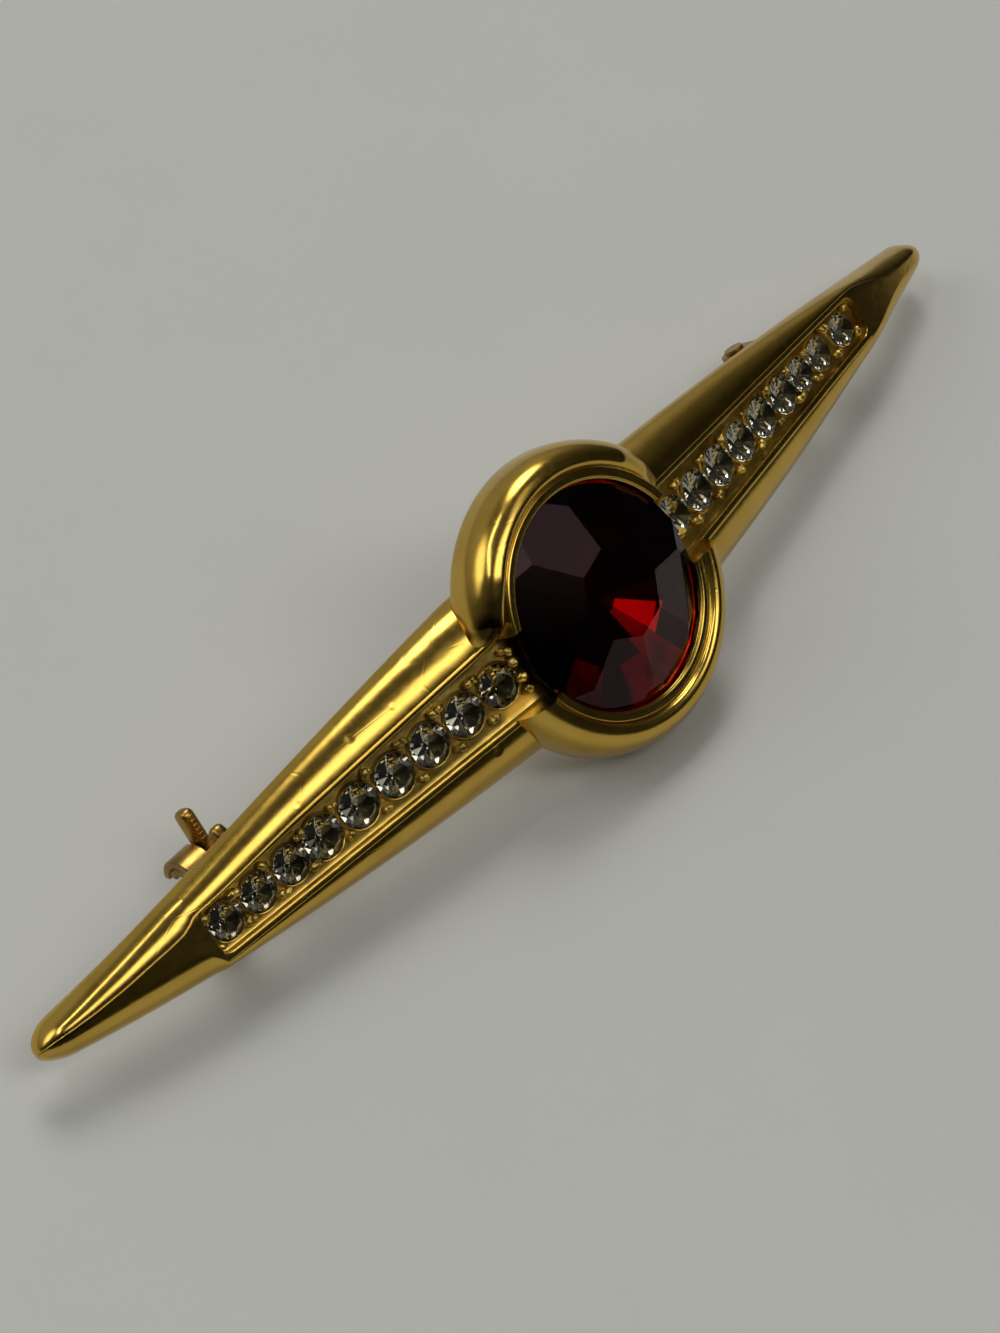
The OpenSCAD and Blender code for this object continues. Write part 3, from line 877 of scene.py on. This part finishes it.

# %% [markdown]
# ## Metals
# Plated metal is a metal shader whose colour is the gold itself. The outside is polished, the
# channel's floor and the settings are left as cast, and the fittings behind are duller and
# painted darker, as painted shade for the dark room they mirror. Foil is a thin mirror: grey
# behind the small stones, and dyed by the glass behind the large one, where near black foil is
# painted shade and bright red foil a painted flash.

# %% Make the metals
def metal(name, colour, worn, amount, rough, haze, ripple, scratches, knocks=0, painted_shade=0):
    material = bpy.data.materials.new(name)
    material.use_nodes = True
    tree = material.node_tree
    shader = tree.nodes["Principled BSDF"]
    shader.inputs["Metallic"].default_value = 1
    wear = node_in(tree, "ShaderNodeGroup", (-350, 0), node_tree=WEAR_AND_SHADE)
    for key, value in (
            ("Colour", (*colour, 1)), ("Worn colour", (*worn, 1)), ("Worn amount", amount),
            ("Roughness", rough), ("Haze", haze), ("Ripple", ripple), ("Scratches", scratches),
            ("Knocks", knocks), ("Painted shade", painted_shade)):
        wear.inputs[key].default_value = value
    for put, socket in (("Colour", "Base Color"), ("Roughness", "Roughness"), ("Normal", "Normal")):
        tree.links.new(wear.outputs[put], shader.inputs[socket])
    return material


# The polished gold's last value is the strength of the painted shade in the corner
polished_gold = metal(
    "polished_gold", (0.65, 0.42, 0.08), (0.44, 0.265, 0.035), 0.45, 0.13, 0.12, 0.12, 0.25, 1, 0.95)
cast_gold = metal("cast_gold", (0.64, 0.44, 0.1), (0.2, 0.125, 0.025), 0.75, 0.2, 0.25, 1.0, 0.3)
# The fittings' darker gold is painted shade
back_gold_painted_dark = metal("back_gold_painted_dark", (0.42, 0.25, 0.06), (0.14, 0.07, 0.02), 0.7, 0.2, 0.2, 0.4, 0.3)
grey_foil = metal("grey_foil", (0.4, 0.37, 0.26), (0.03, 0.025, 0.018), 0.85, 0.3, 0.2, 0.3, 0.2)
# The large stone's foils: near black as painted shade, bright red as a painted flash, dim red as painted
# glints
shade_painted_foil = metal("shade_painted_foil", (0.012, 0.0, 0.001), (0.004, 0.0, 0.0), 0.7, 0.3, 0.1, 0.1, 0.1)
flash_painted_foil = metal("flash_painted_foil", (0.95, 0.04, 0.04), (0.8, 0.02, 0.02), 0.5, 0.5, 0.1, 0.1, 0.1)
glint_painted_foil = metal("glint_painted_foil", (0.34, 0.0, 0.008), (0.03, 0.0, 0.001), 0.9, 0.4, 0.1, 0.1, 0.1)
print("metals", [m.name for m in bpy.data.materials])

# %% [markdown]
# ## Glass
# Both kinds of stone are cut lead glass: clear, sharp reflections and flat facets. The red one
# is dyed dark, and its reflections are a little purple. A faint film of handling grease varies
# their gloss.

# %% Make the glasses
def cut_glass(name, colour, smear, ior, sheen=(1, 1, 1)):
    material = bpy.data.materials.new(name)
    material.use_nodes = True
    tree = material.node_tree
    shader = tree.nodes["Principled BSDF"]
    for key, value in (
            ("Metallic", 0), ("Transmission Weight", 1), ("IOR", ior), ("Specular Tint", (*sheen, 1))):
        shader.inputs[key].default_value = value
    where = node_in(tree, "ShaderNodeTexCoord", (-900, 0)).outputs["Object"]
    film = noise_in(tree, where, (-700, 0), 500, 4)
    tint = mix_in(tree, film, (*colour, 1), (*[0.86 * c for c in colour], 1), (-450, 150))
    gloss = spread_in(tree, film, (-450, -100), 0.35, 0.75, 0.01, smear)
    tree.links.new(tint, shader.inputs["Base Color"])
    tree.links.new(gloss, shader.inputs["Roughness"])
    return material


red_glass = cut_glass("dark_red_glass", (0.72, 0.004, 0.01), 0.05, 1.38, sheen=(1, 0.6, 0.65))
clear_glass = cut_glass("clear_paste_glass", (0.56, 0.53, 0.42), 0.08, 1.58)
print("glasses", red_glass.name, clear_glass.name)

# %% [markdown]
# ## Finish the pieces
# The drawn shapes become objects, take their finishes and ride on the part's bodies. Four of
# them together replace the plain casting, and the large stone and the lever replace their own
# solids. Inside the channels the arms keep the rougher finish of the casting.

# %% Mark the channels' inside
CAST_FINISH = 1
in_channel = 0
for face in arms.faces:
    at = face.calc_center_median()
    s = abs(at.x)
    between_walls = abs(at.y - channel_mid(at.x)) < channel_half(s) + 0.004
    if s < channel_end(at.x) and between_walls and 0.07 < top_z(s) - at.z < 1.4:
        face.material_index = CAST_FINISH
        in_channel += 1
print("faces with the channel's cast finish", in_channel)

# %% Casting, settings and foils
arm_piece = finish_piece(arms, "arm_casting", polished_gold)
arm_piece.data.materials.append(cast_gold)
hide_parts("bar")
collar_piece = finish_piece(collar, "collar_casting", polished_gold)
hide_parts("bar")
settings_piece = finish_piece(settings, "stone_settings", cast_gold)
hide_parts("bar")
fittings_piece = finish_piece(fittings, "catch_and_hinge", back_gold_painted_dark)
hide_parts("bar")
finish_piece(small_foils, "small_foils", grey_foil, sharp_deg=0)

# %% Large stone and lever
red_piece = finish_piece(red_stone, "large_stone_piece", red_glass, sharp_deg=0)
for finish in (shade_painted_foil, flash_painted_foil, glint_painted_foil):
    red_piece.data.materials.append(finish)
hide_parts("centre_stone")
lever_piece = finish_piece(lever, "catch_lever_piece", back_gold_painted_dark, body="lever")
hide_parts("catch_lever")

# %% Small stones, pin and rivet keep their CAD shapes
for name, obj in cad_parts.items():
    finish = clear_glass if name.startswith("stone_") else back_gold_painted_dark
    if name == "centre_stone":
        finish = red_glass
    obj.data.materials.clear()
    obj.data.materials.append(finish)
print("solids given a finish", len(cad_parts))

# %% [markdown]
# ## Table
# The brooch lies on a plain pale table with a faint mottle, as matt as painted board. A large
# grid of a few faces, a hair under the lowest point, is enough.

# %% The table
table = bmesh.new()
bmesh.ops.create_grid(table, x_segments=4, y_segments=4, size=3)
bmesh.ops.translate(table, verts=table.verts, vec=(0, 0, -0.00002))
table_obj = to_object(table, "table")
paint = bpy.data.materials.new("pale_table")
paint.use_nodes = True
tree = paint.node_tree
paint_shader = tree.nodes["Principled BSDF"]
paint_shader.inputs["Roughness"].default_value = 0.75
grain = noise_in(tree, node_in(tree, "ShaderNodeTexCoord", (-700, 0)).outputs["Object"], (-500, 0), 60, 6)
mottle = mix_in(tree, grain, (0.56, 0.565, 0.54, 1), (0.6, 0.6, 0.575, 1), (-250, 0))
tree.links.new(mottle, paint_shader.inputs["Base Color"])
table_obj.data.materials.append(paint)
print("table", [round(v, 2) for v in table_obj.dimensions], "m")

# %% [markdown]
# ## The room
# Polished metal shows what stands round it, so the room matters as much as the lamps. It is dark
# nearly all round, which draws the black lines along the arms. Soft ovals of brightness stand
# for windows and pale walls, each given by its direction.

# %% The room, as soft patches of brightness by direction
world = bpy.data.worlds.new("room")
bpy.context.scene.world = world
world.use_nodes = True
room = world.node_tree
sky = room.nodes["Background"]
where = node_in(room, "ShaderNodeTexCoord", (-1200, 0)).outputs["Generated"]


def patch(centre, radii, turn, radiance, soft, row):
    """A soft-edged oval of light round a direction, turned about the vertical."""
    spun = node_in(room, "ShaderNodeVectorRotate", (-1050, row), rotation_type="Z_AXIS")
    spun.inputs["Angle"].default_value = -math.radians(turn)
    away = node_in(room, "ShaderNodeVectorMath", (-850, row), operation="SUBTRACT")
    back = Matrix.Rotation(-math.radians(turn), 3, "Z")
    away.inputs[1].default_value = back @ Vector(centre).normalized()
    scaled = node_in(room, "ShaderNodeVectorMath", (-650, row), operation="DIVIDE")
    scaled.inputs[1].default_value = radii
    far = node_in(room, "ShaderNodeVectorMath", (-450, row), operation="LENGTH")
    room.links.new(where, spun.inputs["Vector"])
    for a, b in ((spun, away), (away, scaled), (scaled, far)):
        room.links.new(a.outputs[0], b.inputs[0])
    return spread_in(
        room, far.outputs["Value"], (-250, row), 1 + soft, 1 - soft, 0, radiance,
        interpolation_type="SMOOTHSTEP")


# Each patch's direction, radii, turn in degrees, brightness and softness
PATCHES = (
    ((0.05, -0.5, 0.86), (0.34, 0.16, 0.5), -27, 2.6, 0.4),
    ((0.3, -0.66, 0.69), (0.14, 0.14, 0.3), 0, 1.3, 0.4),
    ((0.37, -0.33, 0.87), (0.12, 0.24, 0.5), 0, 0.8, 0.4),
    ((-0.52, 0.58, 0.62), (0.28, 0.15, 0.4), 37, 2.2, 0.4),
    ((0.42, 0.48, 0.77), (0.2, 0.2, 0.3), 0, 6.5, 0.3),
    ((0.0, 0.7, 0.7), (1.4, 1.0, 1.0), 0, 0.06, 0.3),
    ((0.2, 0.95, 0.3), (1.0, 0.6, 0.35), 0, 0.25, 0.5))
DARK_ROOM = 0.012
total = patch(*PATCHES[0], 0)
for k, values in enumerate(PATCHES[1:], 1):
    total = maths_in(room, "ADD", total, patch(*values, -300 * k), (-50, -300 * k))
brightness = maths_in(room, "ADD", total, DARK_ROOM, (100, 0))
room.links.new(brightness, sky.inputs["Strength"])
sky.inputs["Color"].default_value = (1.0, 1.0, 0.96, 1)
print("patches of light", len(PATCHES))

# %% [markdown]
# ## Lamps
# Two narrow lamps overhead meet at a corner. They light the table and the facets, and the dome
# mirrors them as fine bright lines.

# %% Narrow ceiling lamps
LAMP_WIDTH, LAMP_RADIANCE = 0.11, 4.5


def strip_lamp(name, start, end):
    """A narrow lamp 1 m away that spans two directions."""
    a, b = Vector(start).normalized(), Vector(end).normalized()
    lamp = bpy.data.lights.new(name, "AREA")
    lamp.shape = "RECTANGLE"
    lamp.size, lamp.size_y = (b - a).length, LAMP_WIDTH
    lamp.energy = LAMP_RADIANCE * math.pi * lamp.size * lamp.size_y
    obj = bpy.data.objects.new(name, lamp)
    bpy.context.scene.collection.objects.link(obj)
    middle = (a + b) / 2
    along = (b - a).normalized()
    across = middle.cross(along).normalized()
    turn = Matrix((along, across, along.cross(across))).transposed()
    obj.matrix_world = Matrix.Translation(middle) @ turn.to_4x4()
    facing = (turn @ Vector((0, 0, -1))).dot(-middle.normalized())
    print(name, "faces the brooch", round(facing, 2))


LAMP_CORNER = (-0.32, 0.40, 0.86)
strip_lamp("lamp_left", (-0.47, 0.0, 0.88), LAMP_CORNER)
strip_lamp("lamp_back", LAMP_CORNER, (0.02, 0.38, 0.92))

# %% [markdown]
# ## View and camera
# The standard view keeps the gold's highlights yellow, where the default one would fade them to
# cream. The camera stands where the photograph was taken, about 16 cm from the brooch.

# %% Colours as a camera shows them
bpy.context.scene.view_settings.view_transform = "Standard"
print("view", bpy.context.scene.view_settings.view_transform)

# %% The camera, at the photograph's angle
# The focal length and the height of the photograph's frame, in its pixels
FOCAL_LENGTH, FRAME_HEIGHT = 3195.889, 1333
camera = bpy.data.objects.new("camera", bpy.data.cameras.new("camera"))
bpy.context.scene.collection.objects.link(camera)
camera.location = (-0.0872468, -0.0607585, 0.1250056)
camera.rotation_euler = [math.radians(a) for a in (40.29682, -1.40805, -51.4909)]
camera.data.sensor_width = 36
camera.data.lens = FOCAL_LENGTH / FRAME_HEIGHT * camera.data.sensor_width
camera.data.clip_start = 0.01
bpy.context.scene.camera = camera
print("lens", round(camera.data.lens, 1), "mm, camera", round(1000 * camera.location.length), "mm away")
